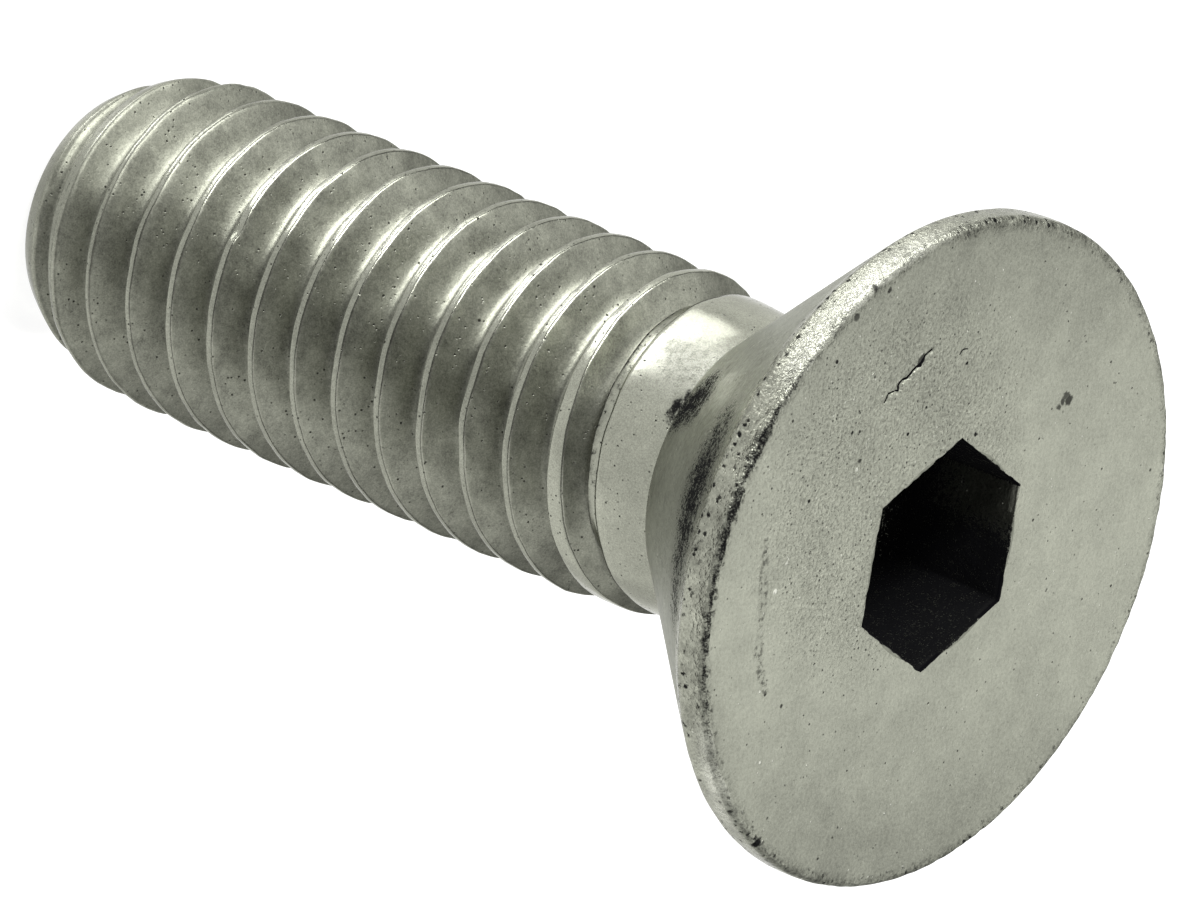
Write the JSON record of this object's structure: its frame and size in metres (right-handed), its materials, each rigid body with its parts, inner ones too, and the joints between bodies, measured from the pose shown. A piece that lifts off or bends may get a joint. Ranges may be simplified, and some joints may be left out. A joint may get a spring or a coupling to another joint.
{
  "type": "countersunk socket screw",
  "caption": "Countersunk screw with a wide flat head, a hexagon socket, a short plain collar and a coarse right-hand thread down to its flat end.",
  "frame": {"origin": "centre of the flat end face, the lowest point of the screw as it stands on its end", "axes": "+Z along the screw's axis, from the end face up to the flat face of the head; +X through a corner of the hexagon socket"},
  "size_m": [0.0184, 0.0184, 0.031],
  "materials": {
    "steel": "satin"
  },
  "bodies": {
    "root": {"screw": "steel"}
  },
  "joints": []
}
